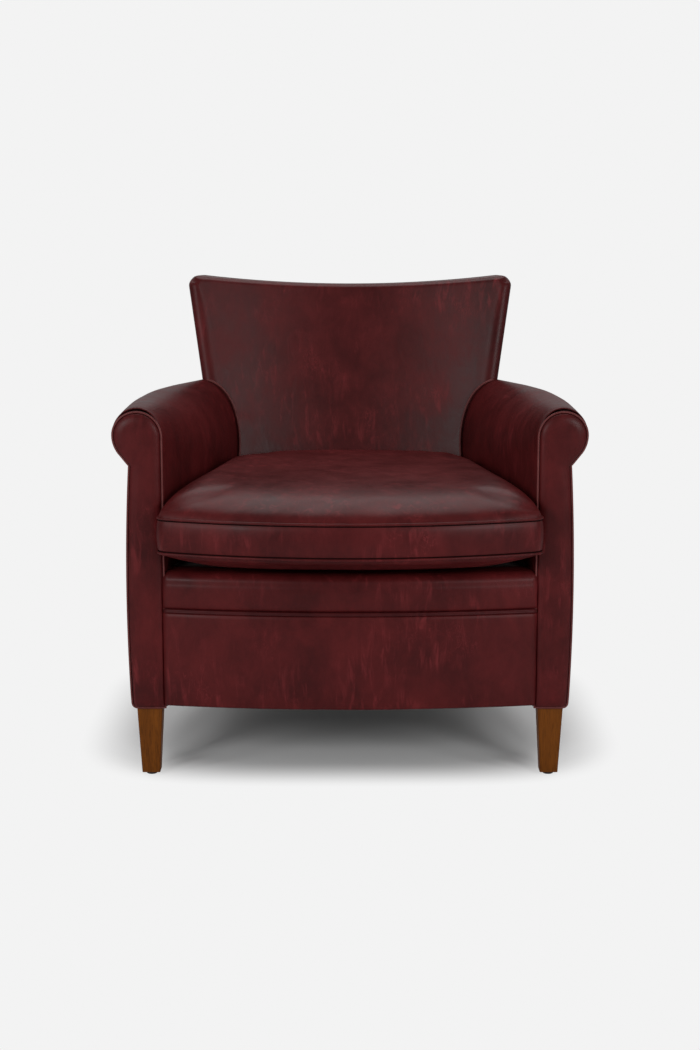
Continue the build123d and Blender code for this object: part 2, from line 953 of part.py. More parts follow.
# Back: padding, inside cover, outside cover and the welt that joins them
rails_through_back = []
for rail in (arm_top_rail, arm_tack_rail):
    rails_through_back.append(rail.part)
    rails_through_back.append(rail.part.mirror(Plane.YZ))
inner_roll = back_edge_roll - leather
with BuildPart() as back_pad:
    add(
        back_block(
            front_of_back(leather),
            rear_of_back(back_frame + leather + web_thickness),
            leather,
            deck_height,
            inner_roll,
        )
    )
    for rail in rails_through_back:
        add(rail, mode=Mode.SUBTRACT)
write_node(back_pad, "back_pad")
with BuildPart() as inside_back_cover:
    add(back_block(front_of_back(), rear_of_back(piping), 0, deck_height, back_edge_roll))
    add(
        back_block(
            front_of_back(leather), rear_of_back(-overrun), leather, deck_height - overrun, inner_roll
        ),
        mode=Mode.SUBTRACT,
    )
    for rail in rails_through_back:
        add(rail, mode=Mode.SUBTRACT)
write_node(inside_back_cover, "inside_back_cover")
with BuildPart() as outside_back_cover:
    add(back_block(rear_of_back(leather), rear_of_back(), piping, frame_bottom))
write_node(outside_back_cover, "outside_back_cover")
with BuildPart() as back_welt:
    add(back_block(rear_of_back(piping), rear_of_back(), 0, frame_bottom))
    add(
        back_block(
            rear_of_back(piping + overrun), rear_of_back(-overrun), piping, shell_bottom - overrun
        ),
        mode=Mode.SUBTRACT,
    )
write_node(back_welt, "back_welt")

# Loose seat cushion: core, leather panels, boxing, piping and the zip at its rear
dome_base = seam_high + piping_height / 2
dish_base = seam_low - piping_height / 2
with BuildPart() as cushion_core:
    add(cushion_layer(piping_depth - piping_proud, dish_base, dome_base))
    add(cushion_dome(dome_base, crown_up - leather - clearance, leather + clearance))
    add(cushion_dome(dish_base, leather + clearance - crown_down, leather + clearance))
write_node(cushion_core, "cushion_core")
for name, base, rise in (
    ("cushion_top_panel", dome_base, crown_up),
    ("cushion_bottom_panel", dish_base, -crown_down),
):
    toward = 1 if rise > 0 else -1
    with BuildPart() as panel:
        add(cushion_dome(base, rise))
        add(cushion_dome(base, rise - toward * leather, leather), mode=Mode.SUBTRACT)
    write_node(panel, name)
for name, middle in (("cushion_top_piping", seam_high), ("cushion_bottom_piping", seam_low)):
    low = middle - piping_height / 2
    with BuildPart() as cord:
        add(cushion_layer(-piping_proud, low, low + piping_height))
        add(
            cushion_layer(piping_depth - piping_proud, low, low + piping_height),
            mode=Mode.SUBTRACT,
        )
    write_node(cord, name)
zip_middle = (seam_low + seam_high) / 2
with BuildPart() as cushion_boxing:
    add(cushion_layer(0, seam_low + piping_height / 2, seam_high - piping_height / 2))
    add(
        cushion_layer(leather, seam_low + piping_height / 2, seam_high - piping_height / 2),
        mode=Mode.SUBTRACT,
    )
    add(
        zip_band(
            -overrun, overrun, zip_half_length, zip_middle - zip_height / 2, zip_middle + zip_height / 2
        ),
        mode=Mode.SUBTRACT,
    )
write_node(cushion_boxing, "cushion_boxing")
with BuildPart() as zip_tape:
    add(
        zip_band(
            -leather,
            cloth - leather,
            zip_half_length,
            zip_middle - zip_height / 2,
            zip_middle + zip_height / 2,
        )
    )
write_node(zip_tape, "zip_tape")
teeth_foot = cloth - leather + clearance
with BuildPart() as zip_teeth:
    add(
        zip_band(
            teeth_foot,
            teeth_foot + teeth_proud,
            zip_half_length - overrun / 2,
            zip_middle - teeth_height / 2,
            zip_middle + teeth_height / 2,
        )
    )
write_node(zip_teeth, "zip_teeth")
slider_roof = teeth_foot + teeth_proud + clearance
start_turn = math.degrees((zip_half_length - overrun) / cushion_rear_radius)
zip_centre_y = at_depth(cushion_rear_apex) - cushion_rear_radius
with BuildPart() as slider_middle:
    add(
        zip_band(
            teeth_foot,
            slider_roof + slider_wall,
            slider_length / 2,
            zip_middle - slider_height / 2,
            zip_middle + slider_height / 2,
        )
    )
    groove = teeth_height / 2 + clearance
    add(
        zip_band(-overrun, slider_roof, slider_length, zip_middle - groove, zip_middle + groove),
        mode=Mode.SUBTRACT,
    )
    add(
        zip_band(
            slider_roof + slider_wall,
            slider_roof + 2 * slider_wall,
            pull_width / 2,
            zip_middle - pull_length,
            zip_middle + slider_height / 2,
        )
    )
zip_axis = Axis((0, zip_centre_y, 0), (0, 0, 1))
with BuildPart() as zip_slider:
    add(slider_middle.part.rotate(zip_axis, start_turn))
write_node(zip_slider, "zip_slider")
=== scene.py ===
import json
import math

import bmesh
import bpy
from mathutils import Matrix, Vector, noise


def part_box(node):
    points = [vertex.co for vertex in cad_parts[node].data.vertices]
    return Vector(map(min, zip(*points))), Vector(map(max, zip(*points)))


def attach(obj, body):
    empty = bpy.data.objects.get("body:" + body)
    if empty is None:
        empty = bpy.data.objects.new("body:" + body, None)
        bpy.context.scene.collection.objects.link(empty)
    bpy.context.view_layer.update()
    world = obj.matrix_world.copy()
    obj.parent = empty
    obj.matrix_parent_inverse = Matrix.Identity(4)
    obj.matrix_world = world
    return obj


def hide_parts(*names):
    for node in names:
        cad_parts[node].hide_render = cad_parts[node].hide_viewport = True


# A low-backed roll-arm easy chair in oxblood leather, with one loose piped seat cushion. Metres, Z up,
# the chair faces -Y. Depths are measured back from the plane of the arm fronts.
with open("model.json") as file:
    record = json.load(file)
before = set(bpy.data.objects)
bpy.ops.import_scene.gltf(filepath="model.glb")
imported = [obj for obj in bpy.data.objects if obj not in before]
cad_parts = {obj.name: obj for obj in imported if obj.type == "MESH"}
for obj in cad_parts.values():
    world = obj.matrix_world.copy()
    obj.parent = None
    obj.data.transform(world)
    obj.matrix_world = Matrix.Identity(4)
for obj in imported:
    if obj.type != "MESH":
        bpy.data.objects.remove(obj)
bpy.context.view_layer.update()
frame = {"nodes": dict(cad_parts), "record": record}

# Legs: solid hardwood, tapered and square with softly eased edges, stained a warm brown and lacquered.
# Each is held by a hanger bolt that screws up into the seat frame.


def feed(tree, node, values):
    """Fill a node's inputs; a value that is another node's output is linked."""
    for socket, value in values.items():
        if isinstance(value, bpy.types.NodeSocket):
            tree.links.new(value, node.inputs[socket])
        else:
            node.inputs[socket].default_value = value


def add_node(tree, kind, values, **traits):
    """Add a node with these traits, and fill its inputs."""
    node = tree.nodes.new(kind)
    for trait, value in traits.items():
        setattr(node, trait, value)
    feed(tree, node, values)
    return node


def new_group(name, tints, measures):
    """An empty node group that takes some colours, and gives one colour and some plain values."""
    group = bpy.data.node_groups.new(name, "ShaderNodeTree")
    for label in tints:
        group.interface.new_socket(label, in_out="INPUT", socket_type="NodeSocketColor")
    group.interface.new_socket("Color", in_out="OUTPUT", socket_type="NodeSocketColor")
    for label in measures:
        group.interface.new_socket(label, in_out="OUTPUT", socket_type="NodeSocketFloat")
    return group, add_node(group, "NodeGroupInput", {}), add_node(group, "NodeGroupOutput", {})


def new_material(name):
    """A new material, with its node tree and its shader."""
    material = bpy.data.materials.new(name)
    material.use_nodes = True
    return material, material.node_tree, material.node_tree.nodes["Principled BSDF"]


def own_place(tree):
    """Places in the piece's own frame."""
    return add_node(tree, "ShaderNodeTexCoord", {}).outputs["Object"]


def cloud(tree, place, scale, detail, roughness=0.5, stretch=(1, 1, 1), distortion=0.0):
    """Cloudy noise; stretch packs it more tightly along an axis."""
    spread = add_node(tree, "ShaderNodeMapping", {"Vector": place, "Scale": stretch})
    values = {"Scale": scale, "Detail": detail, "Roughness": roughness, "Distortion": distortion}
    texture = add_node(tree, "ShaderNodeTexNoise", {"Vector": spread.outputs["Vector"], **values})
    return texture.outputs["Fac"]


def ramp(tree, value, low, high, floor=0.0):
    """A grey that climbs from floor to white as the value goes from low to high."""
    node = add_node(tree, "ShaderNodeValToRGB", {"Fac": value})
    node.color_ramp.elements[0].position = low
    node.color_ramp.elements[0].color = (floor, floor, floor, 1)
    node.color_ramp.elements[1].position = high
    return node.outputs["Color"]


def mixed(tree, factor, a, b, blend="MIX"):
    """Two colours mixed: a where the factor is 0, and b where it is 1."""
    values = {"Factor": factor, "A": a, "B": b}
    return add_node(tree, "ShaderNodeMix", values, data_type="RGBA", blend_type=blend).outputs["Result"]


def ranged(tree, value, low, high):
    """A value that goes from 0 to 1, stretched so that it goes from low to high."""
    node = add_node(tree, "ShaderNodeMapRange", {"Value": value, "To Min": low, "To Max": high})
    return node.outputs["Result"]


def bumped(tree, height, strength, distance, **under):
    """A relief, laid over another one where that is given as Normal."""
    values = {"Height": height, "Strength": strength, "Distance": distance, **under}
    return add_node(tree, "ShaderNodeBump", values).outputs["Normal"]


def wood_grain():
    """Node group: long brown grain that runs along Z, with fine pores."""
    group, given, out = new_group("wood grain", ("Light", "Dark"), ("Roughness", "Height"))
    place = own_place(group)
    figure = cloud(group, place, 1.6, 6, 0.62, (60, 60, 5))
    pores = cloud(group, place, 1, 2, stretch=(900, 900, 40))
    brown = mixed(group, ramp(group, figure, 0.3, 0.68), given.outputs["Dark"], given.outputs["Light"])
    color = mixed(group, 0.8, brown, ramp(group, pores, 0.36, 0.5, 0.62), "MULTIPLY")
    feed(group, out, {"Color": color, "Roughness": ranged(group, figure, 0.34, 0.52), "Height": pores})
    return group


grain_group = wood_grain()


def wood(name, light, dark, shine=0.5):
    """A wood finish from the grain group; shine is how strongly its surface mirrors."""
    material, tree, shader = new_material(name)
    tints = {"Light": (*light, 1), "Dark": (*dark, 1)}
    grain = add_node(tree, "ShaderNodeGroup", tints, node_tree=grain_group)
    surface = {
        "Base Color": grain.outputs["Color"],
        "Roughness": grain.outputs["Roughness"],
        "Specular IOR Level": shine,
        "Normal": bumped(tree, grain.outputs["Height"], 0.12, 0.0004),
    }
    feed(tree, shader, surface)
    return material


def dress(names, material):
    """Give carried-over rigid pieces their finish."""
    for name in names:
        piece = frame["nodes"][name]
        for slot in piece.material_slots:
            slot.material = material


leg_wood = wood("stained leg wood", (0.16, 0.046, 0.0035), (0.105, 0.029, 0.002), shine=0.12)
dress([f"{end}_leg_{side}" for end in ("front", "rear") for side in ("left", "right")], leg_wood)

# Glides: black moulded plastic buttons with a steel nail, driven into the foot of each leg.
# They keep the end grain off the floor.


def plain_finish(name, color, roughness, metallic=0.0, speckle=0.15, scale=400, shine=0.5):
    """A finish of one colour with fine uneven roughness and a faint bump."""
    material, tree, shader = new_material(name)
    uneven = cloud(tree, own_place(tree), scale, 4)
    darker = (*[c * (1 - speckle) for c in color], 1)
    lighter = (*[min(1, c * (1 + speckle)) for c in color], 1)
    surface = {
        "Base Color": mixed(tree, uneven, darker, lighter),
        "Roughness": ranged(tree, uneven, roughness - 0.08, roughness + 0.08),
        "Metallic": metallic,
        "Specular IOR Level": shine,
        "Normal": bumped(tree, uneven, 0.1, 0.0003),
    }
    feed(tree, shader, surface)
    return material


dress(["leg_glides"], plain_finish("black glide plastic", (0.012, 0.012, 0.013), 0.45))

# Seat, arm and back frame: rails, posts and glue blocks of raw kiln-dried beech and plywood.
# They are dowelled and glued, and hidden once the chair is covered.
frame_wood = wood("raw frame wood", (0.62, 0.43, 0.25), (0.45, 0.29, 0.15))
subparts = frame["record"]["subparts"]
dress([part["node"] for part in subparts if part["material_slot"] == "frame_wood"], frame_wood)

# Seat springs: zigzag steel wire, clipped to the tops of the front and rear rails. The clips are
# bent steel strip, and the hanger bolts hold the legs.
spring_steel = plain_finish("spring steel", (0.33, 0.33, 0.35), 0.38, metallic=1.0, speckle=0.25)
dress([f"seat_spring_{number}" for number in range(1, 6)], spring_steel)
dress(["spring_clips", "hanger_bolts"], spring_steel)

# Webbing and cloths: jute strips behind the back padding, hessian over the springs, plain cloth on the
# deck under the cushion, and a black dust cloth under the seat. All are tacked to the frame, pulled tight.


def woven(name, color, threads_per_metre, fuzz=0.3):
    """Plain weave: two crossed sets of threads that show in relief, and in colour as painted shade in the
    hollows between them.
    """
    material, tree, shader = new_material(name)
    threads = {"Vector": own_place(tree), "Scale": (threads_per_metre,) * 3}
    place = add_node(tree, "ShaderNodeMapping", threads).outputs["Vector"]
    weave = add_node(tree, "ShaderNodeTexChecker", {"Vector": place, "Scale": 1}).outputs["Fac"]
    values = {"Factor": fuzz, "A": weave, "B": cloud(tree, place, 0.35, 5)}
    thread = add_node(tree, "ShaderNodeMix", values).outputs["Result"]
    # The hollows between the threads are darker: painted shade.
    hollow = (*[c * 0.55 for c in color], 1)
    surface = {
        "Base Color": mixed(tree, thread, hollow, (*color, 1)),
        "Normal": bumped(tree, thread, 0.4, 0.0006),
        "Roughness": 0.9,
        "Specular IOR Level": 0.1,
        "Sheen Weight": 0.05,
    }
    feed(tree, shader, surface)
    return material


def sag(x, radius):
    """How far a circle of this radius has fallen away at x."""
    return radius - math.sqrt(radius * radius - x * x)


arm_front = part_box("facing_welt_right")[0].y
back_rear_foot, back_rear_lean, back_rear_radius = 0.555, math.radians(7.2), 1.007
bow_depth, bow_radius = -0.026, 1.686
cloth_half_front, cloth_narrowing, cloth_straight, cloth_middle, cloth_cells = 0.328, 0.18, 0.05, 0.25, 24


def rear_depth(x, z):
    """Depth of the back's rear surface."""
    return back_rear_foot + z * math.tan(back_rear_lean) - sag(x, back_rear_radius) / math.cos(back_rear_lean)


def bow(x):
    """Depth of the bowed front of the seat."""
    return bow_depth + sag(x, bow_radius)


def new_piece(name, bm, material, body, slot, *nodes):
    """Turn a finished bmesh into a piece that rides on its body."""
    bmesh.ops.recalc_face_normals(bm, faces=bm.faces)
    mesh = bpy.data.meshes.new(name)
    bm.to_mesh(mesh)
    bm.free()
    mesh.shade_smooth()
    piece = bpy.data.objects.new(name, mesh)
    bpy.context.collection.objects.link(piece)
    mesh.materials.append(material)
    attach(piece, body)
    if nodes:
        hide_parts(*nodes)
    return piece


def new_grid(x_cells, y_cells):
    """A bmesh with a flat grid that goes from -1 to 1 both ways."""
    bm = bmesh.new()
    bmesh.ops.create_grid(bm, x_segments=x_cells, y_segments=y_cells, size=1)
    return bm


def stretched_cloth(name, node, material, slot, front, rear, spread=0.0, drop=0.0, dip=0.0):
    """A tight cloth with the plan of the seat, tacked to the rails, which may dip a little in its middle."""
    low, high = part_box(node)
    half_front = cloth_half_front + spread
    bm = new_grid(cloth_cells, cloth_cells)
    for vert in bm.verts:
        u, v = vert.co.x, (vert.co.y + 1) / 2
        x, depth = 0.0, cloth_middle
        for _ in range(4):
            x = u * min(half_front, half_front - cloth_narrowing * (depth - cloth_straight))
            depth = bow(x) + front + v * (rear_depth(x, low.z) - rear - bow(x) - front)
        middle = (1 - u * u) * (1 - (2 * v - 1) ** 2)
        vert.co = (x, arm_front + depth, low.z - drop - dip * middle)
    area = sum(face.calc_area() for face in bm.faces)
    bmesh.ops.solidify(bm, geom=bm.faces, thickness=low.z - high.z)
    piece = new_piece(name, bm, material, "chair", slot, node)
    return piece


hessian_weave = woven("hessian weave", (0.42, 0.31, 0.17), 550)
stretched_cloth("hessian_cloth", "hessian", hessian_weave, "hessian", front=0.014, rear=0.0195)
deck_weave = woven("deck weave", (0.02, 0.009, 0.008), 900)
deck = stretched_cloth("deck_cloth", "deck_cover", deck_weave, "deck_cloth", front=0.05, rear=0.0385)
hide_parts("deck_pad")
dust_weave = woven("dust weave", (0.022, 0.022, 0.022), 1200)
stretched_cloth(
    "dust_cloth", "dust_cover", dust_weave, "dust_cloth",
    front=0.02, rear=0.0023, spread=0.023, drop=0.0046, dip=0.002,
)

jute = woven("jute webbing", (0.42, 0.31, 0.17), 420)
web_low, web_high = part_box("back_webbing")
web_count, web_pitch, web_width, web_gap, web_thickness = 4, 0.1, 0.05, 0.038, 0.0016
for strip in range(web_count):
    middle = (strip - (web_count - 1) / 2) * web_pitch
    bm = new_grid(6, 40)
    for vert in bm.verts:
        x = middle + vert.co.x * web_width / 2
        z = web_low.z + (vert.co.y + 1) / 2 * (web_high.z - web_low.z)
        vert.co = (x, arm_front + rear_depth(x, z) - web_gap, z)
    bmesh.ops.solidify(bm, geom=bm.faces, thickness=web_thickness)
    webbing = new_piece(f"webbing_strip_{strip + 1}", bm, jute, "chair", "webbing", "back_webbing")

# Leather: full-grain hide, dyed oxblood and waxed, so that it is mottled, and rubbed to a lighter red in fine
# upright scuffs. The same hides cover the whole chair; the darker lines along its seams are painted shade.


def hide_group():
    """Node group: mottled hide with scuffs, a fine grain, and soft wrinkles."""
    group, given, out = new_group(
        "mottled hide", ("Deep", "Middle", "Scuff"), ("Roughness", "Grain", "Creases")
    )
    place = own_place(group)

    def between(source, low, high):
        values = {"Value": source, "From Min": low, "From Max": high}
        fade = add_node(group, "ShaderNodeMapRange", values, interpolation_type="SMOOTHSTEP")
        return fade.outputs["Result"]

    def combine(operation, a, b):
        return add_node(group, "ShaderNodeMath", {0: a, 1: b}, operation=operation).outputs["Value"]

    patches = between(cloud(group, place, 6.5, 6, 0.6), 0.3, 0.7)
    clouds = between(cloud(group, place, 24, 8, 0.72, (1, 1, 0.6), 0.4), 0.3, 0.72)
    tone = combine("ADD", combine("MULTIPLY", patches, 0.5), combine("MULTIPLY", clouds, 0.5))
    strokes = between(cloud(group, place, 1, 4, 0.62, (80, 80, 15), 0.6), 0.48, 0.74)
    brushed = between(cloud(group, place, 8, 3, 0.55), 0.42, 0.64)
    threads = combine("SUBTRACT", cloud(group, place, 1, 5, 0.65, (85, 85, 40), 1.2), 0.5)
    veins = between(combine("ABSOLUTE", threads, 0), 0.022, 0.004)
    nicks = between(cloud(group, place, 1, 2, 0.5, (700, 700, 110), 0.3), 0.66, 0.74)
    worn = between(cloud(group, place, 13, 5, 0.65), 0.5, 0.68)
    fine_scuffs = combine("MULTIPLY", combine("MAXIMUM", veins, nicks), worn)
    scuffs = combine("MAXIMUM", combine("MULTIPLY", fine_scuffs, 0.5), combine("MULTIPLY", strokes, 0.42))
    scuffs = combine("MULTIPLY", scuffs, brushed)
    base = mixed(group, tone, given.outputs["Deep"], given.outputs["Middle"])
    dulled = combine("ADD", tone, combine("MULTIPLY", scuffs, 0.5))
    pebbles = {"Vector": place, "Scale": 620}
    pebble = add_node(group, "ShaderNodeTexVoronoi", pebbles, feature="SMOOTH_F1")
    fine_grain = cloud(group, place, 1400, 2, 0.55)
    results = {
        "Color": mixed(group, scuffs, base, given.outputs["Scuff"]),
        "Roughness": ranged(group, dulled, 0.3, 0.44),
        "Grain": combine("ADD", pebble.outputs["Distance"], fine_grain),
        "Creases": cloud(group, place, 26, 4, 0.5, (1, 1, 0.7), 0.8),
    }
    feed(group, out, results)
    return group


hide = hide_group()


def leather(name, deep, middle, scuff, crease_depth=0.0012):
    """One hide: its three colours, and how deep its soft creases lie."""
    material, tree, shader = new_material(name)
    tints = {"Deep": (*deep, 1), "Middle": (*middle, 1), "Scuff": (*scuff, 1)}
    skin = add_node(tree, "ShaderNodeGroup", tints, node_tree=hide)
    creases = bumped(tree, skin.outputs["Creases"], 0.35, crease_depth)
    surface = {
        "Base Color": skin.outputs["Color"],
        "Roughness": skin.outputs["Roughness"],
        "Specular IOR Level": 0.12,
        "Normal": bumped(tree, skin.outputs["Grain"], 0.22, 0.00025, Normal=creases),
    }
    feed(tree, shader, surface)
    return material


welt_crease = 0.0004
oxblood = leather("oxblood hide", (0.036, 0.0042, 0.0045), (0.09, 0.0092, 0.0098), (0.23, 0.028, 0.032))
# A darker copy of the hide for the back and double welts: the extra darkness is painted shade.
oxblood_shaded_welt = leather(
    "oxblood welt hide with painted shade", (0.026, 0.0035, 0.004), (0.062, 0.007, 0.008), (0.12, 0.018, 0.02), welt_crease
)
# A lighter, greyer copy of the hide for the facing and joint welts: the extra lightness is a painted
# highlight.
painted_highlight_welt = leather(
    "welt hide with painted highlight", (0.09, 0.02, 0.02), (0.15, 0.045, 0.043), (0.25, 0.09, 0.085), welt_crease
)

# Arms: a wood frame with shaped padding under the leather. A hide rolls over each arm from the seat to
# below the scroll, a second hide covers its outer side, and both turn over the front edge into a seam.
seat_half_front, arm_splay = 0.306, 0.2125
arm_run, arm_top, arm_drop, shell_foot = 0.59, 0.622, 0.0075, 0.122
ridge_front, ridge_pull, ridge_power, ridge_straight = 0.3455, 0.151, 2.5, 0.186
outer_front, outer_pull, outer_power, outer_bulge, outer_bulge_height = 0.363, 0.088, 2.2, 0.003, 0.39
shoulder_front, shoulder_drop, shoulder_power = 0.577, 0.11, 0.8
scroll_reach, scroll_lip, scroll_middle, scroll_under, scroll_under_share = 0.0405, 0.003, 0.577, 0.5446, 0.52
neck_height, foot_corner, foot_lowering = 0.5275, 0.008, 0.7
face_steps, roll_steps, scroll_steps, neck_steps = 36, 14, 8, 5
side_steps, corner_steps, foot_steps = 33, 4, 6


def inner_face(depth):
    """X of the arm's inner face."""
    return seat_half_front - arm_splay * depth


def outer_face(depth):
    """X of the arm's outer face below the scroll."""
    return outer_front - outer_pull * (max(0, depth) / arm_run) ** outer_power


def ridge(depth):
    """X of the arm's top line."""
    turned = max(0, depth - ridge_straight * arm_run) / (arm_run * (1 - ridge_straight))
    return ridge_front - ridge_pull * turned**ridge_power


def quarter(steps):
    """The angles of a quarter turn in even steps, with both ends."""
    return [math.pi / 2 * k / steps for k in range(steps + 1)]


def arm_section(depth, inset=0.0, at=None, lowered=0.0):
    """The right arm's upright section, as a closed loop of places; its top and foot can be lowered."""
    inside = inner_face(depth) + inset
    top = arm_top - arm_drop * max(0, depth) / arm_run - inset - lowered
    shoulder = shoulder_front - shoulder_drop * (max(0, depth) / arm_run) ** shoulder_power
    crest = ridge(depth)
    neck = outer_face(depth) - outer_bulge - inset
    reach = max(crest + scroll_reach, outer_face(depth) + scroll_lip)
    under = neck + inset + (reach - neck - inset) * scroll_under_share - inset
    reach -= inset
    foot = outer_face(depth) - inset
    low = shell_foot + inset - foot_lowering * lowered
    spots = [(inside, low + (shoulder - low) * k / face_steps) for k in range(face_steps)]
    for turn in quarter(roll_steps)[:-1]:
        x = crest - (crest - inside) * math.cos(turn)
        spots.append((x, shoulder + (top - shoulder) * math.sin(turn)))
    for turn in quarter(roll_steps)[:-1]:
        x = crest + (reach - crest) * math.sin(turn)
        spots.append((x, scroll_middle + (top - scroll_middle) * math.cos(turn)))
    fall, step = scroll_middle - scroll_under, reach - under
    bend = (fall * fall + step * step) / (2 * step)
    sweep = math.atan2(fall, bend - step)
    for k in range(scroll_steps + 1):
        turn = sweep * k / scroll_steps
        spots.append((reach - bend + bend * math.cos(turn), scroll_middle - bend * math.sin(turn)))
    for k in range(1, neck_steps):
        x = under + (neck - under) * k / neck_steps
        spots.append((x, scroll_under + (neck_height - scroll_under) * k / neck_steps))
    mid, bulge, end = neck_height, outer_bulge_height, low + foot_corner
    for k in range(side_steps + 1):
        z = mid + (end - mid) * k / side_steps
        x = neck * (z - bulge) * (z - end) / ((mid - bulge) * (mid - end))
        x += (foot + outer_bulge) * (z - mid) * (z - end) / ((bulge - mid) * (bulge - end))
        x += foot * (z - mid) * (z - bulge) / ((end - mid) * (end - bulge))
        spots.append((x, z))
    for turn in quarter(corner_steps)[1:]:
        spots.append((foot - foot_corner * (1 - math.cos(turn)), end - foot_corner * math.sin(turn)))
    for k in range(1, foot_steps):
        spots.append((foot - foot_corner + (inside - foot + foot_corner) * k / foot_steps, low))
    y = arm_front + (depth if at is None else at)
    return [(x, y, z) for x, z in spots]


def ring(bm, places):
    """A closed loop of edges through the places."""
    verts = [bm.verts.new(place) for place in places]
    return [bm.edges.new((verts[k - 1], verts[k])) for k in range(len(verts))]


def join_rings(bm, rings):
    """Skin a run of loops that have the same number of edges."""
    for first, second in zip(rings, rings[1:]):
        bmesh.ops.bridge_loops(bm, edges=first + second)


def cap(bm, edges):
    """Close a loop."""
    bmesh.ops.contextual_create(bm, geom=edges)


def ripple(place, size):
    """A slow, shallow unevenness, as stretched leather has."""
    return noise.noise(Vector(place)) * size


def both_sides(name, bm, material, slot, *nodes):
    """Keep the right-hand bmesh as a piece and add its left-hand twin."""
    twin = bm.copy()
    right = new_piece(f"{name}_right", bm, material, "chair", slot, *[f"{node}_right" for node in nodes])
    for vert in twin.verts:
        vert.co.x = -vert.co.x
    left = new_piece(f"{name}_left", twin, material, "chair", slot, *[f"{node}_left" for node in nodes])
    return right, left


facing_plane, facing_drop = 0.008, 0.0055
rim_depth, arm_stations, uneven_from = 0.0105, 30, 0.4
bm = bmesh.new()
rim_steps = ((rim_depth, 0.0052), (0.0096, 0.0034), (0.009, 0.0018), (0.009, 0.0006))
loops = [ring(bm, arm_section(facing_plane, inset, depth)) for depth, inset in rim_steps]
cap(bm, loops[0])
for k in range(arm_stations + 1):
    loops.append(ring(bm, arm_section(rim_depth + (arm_run - rim_depth) * k / arm_stations)))
join_rings(bm, loops)
cut_near, cut_far = Vector((0.291, 0.5105, 0)), Vector((0.2, 0.526, 0))
slope = (cut_near.y - cut_far.y) / (cut_near.x - cut_far.x)
parted = bmesh.ops.bisect_plane(
    bm,
    geom=bm.verts[:] + bm.edges[:] + bm.faces[:],
    plane_co=(cut_near.x, arm_front + cut_near.y, 0),
    plane_no=Vector((-slope, 1, -math.tan(back_rear_lean))).normalized(),
    clear_outer=True,
)
cap(bm, [e for e in parted["geom_cut"] if isinstance(e, bmesh.types.BMEdge)])
for vert in bm.verts:
    if vert.co.z > uneven_from:
        vert.co.z += ripple(vert.co * 11, 0.0011)
arms = both_sides(
    "arm_leather", bm, oxblood, "leather", "inside_arm_cover", "outside_arm_cover", "arm_pad"
)

# Arm facings: padded panels cut to the arm's outline and tacked on last. Each one swells out of the seam
# round its edge.
panel_steps = (
    (0.0095, 0.0034),
    (0.0062, 0.0033),
    (0.0038, 0.0041),
    (0.0019, 0.006),
    (0.0006, 0.0088),
    (-0.0004, 0.0122),
    (-0.0011, 0.016),
    (-0.0014, 0.0192),
)
bm = bmesh.new()
loops = [ring(bm, arm_section(facing_plane, inset, depth, facing_drop)) for depth, inset in panel_steps]
join_rings(bm, loops)
cap(bm, loops[0])
cap(bm, loops[-1])
for piece in both_sides("facing_panel", bm, oxblood, "leather", "arm_facing"):
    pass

# Welts: thin cords covered in leather. One is sewn round each arm facing, and tucked in round its foot.
facing_cord_inset, facing_cord_depth, facing_cord_radius = 0.0012, 0.0066, 0.0017
tuck_height, tuck_up, tuck_in, foot_band = 0.012, 0.0012, 0.0009, 0.001


def covered_cord(bm, path, radius, beside, closed=False, sides=12):
    """Run a round cord along a path; beside is a direction that is never along it."""
    rings = []
    for k, place in enumerate(path):
        before = path[k - 1] if k or closed else place
        after = path[(k + 1) % len(path)] if closed or k + 1 < len(path) else place
        along = (after - before).normalized()
        across = along.cross(beside).normalized()
        frame_here = Matrix((across, along.cross(across), along)).transposed().to_4x4()
        frame_here.translation = place
        made = bmesh.ops.create_circle(bm, segments=sides, radius=radius, matrix=frame_here)
        rings.append(list({edge for vert in made["verts"] for edge in vert.link_edges}))
    join_rings(bm, rings + rings[:1] if closed else rings)
    if not closed:
        cap(bm, rings[0])
        cap(bm, rings[-1])


outline = arm_section(facing_plane, facing_cord_inset, facing_cord_depth, facing_drop)
path = [Vector(place) for place in outline]
lowest = min(place.z for place in path)
foot_spots = [place.x for place in path if place.z < lowest + foot_band]
middle = sum(foot_spots) / len(foot_spots)
for place in path:
    tucked = max(0, 1 - (place.z - lowest) / tuck_height)
    place.z += tuck_up * tucked
    place.x += math.copysign(tuck_in * tucked, middle - place.x)
bm = bmesh.new()
covered_cord(bm, path, facing_cord_radius, Vector((0, 1, 0)), closed=True)
# Its lighter welt hide is a painted highlight.
both_sides("facing_cord", bm, painted_highlight_welt, "welt_leather", "facing_welt")

# Inside back: one hide stretched over shaped padding, hollowed from side to side, rolled over its front
# edge and carried back as a border to the welt. A pleat at each top corner takes up its fullness.
back_front_foot, back_front_lean, back_front_radius = 0.382, math.radians(12.6), 0.662
back_half, back_knee, back_knee_radius, back_flare = 0.281, 0.6, 0.22, math.atan2(0.03, 0.209)
top_middle, top_radius, top_slant, side_slant, corner_reach = 0.786, 2.1141, 1.005, 1.01, 1.34
back_tuck, back_roll = 0.345, 0.018
side_roll, side_depth, side_slack, side_inset, side_from = 0.04, 0.025, 0.0085, 0.003, 0.9
roll_turn, roll_share, slimmer_top, slimmer_from = math.radians(82), 0.6, 0.012, 0.84
top_roll, top_depth, rear_drop, drop_power, hem = 0.007, 0.012, 0.0042, 1.6, 0.0022
front_corner, rear_corner, pleat_reach, pleat_depth = 0.008, 0.02, 0.02, 0.003


def front_depth(x, z):
    """Depth of the back's front surface."""
    hollow = sag(x, back_front_radius) / math.cos(back_front_lean)
    return back_front_foot + z * math.tan(back_front_lean) - hollow


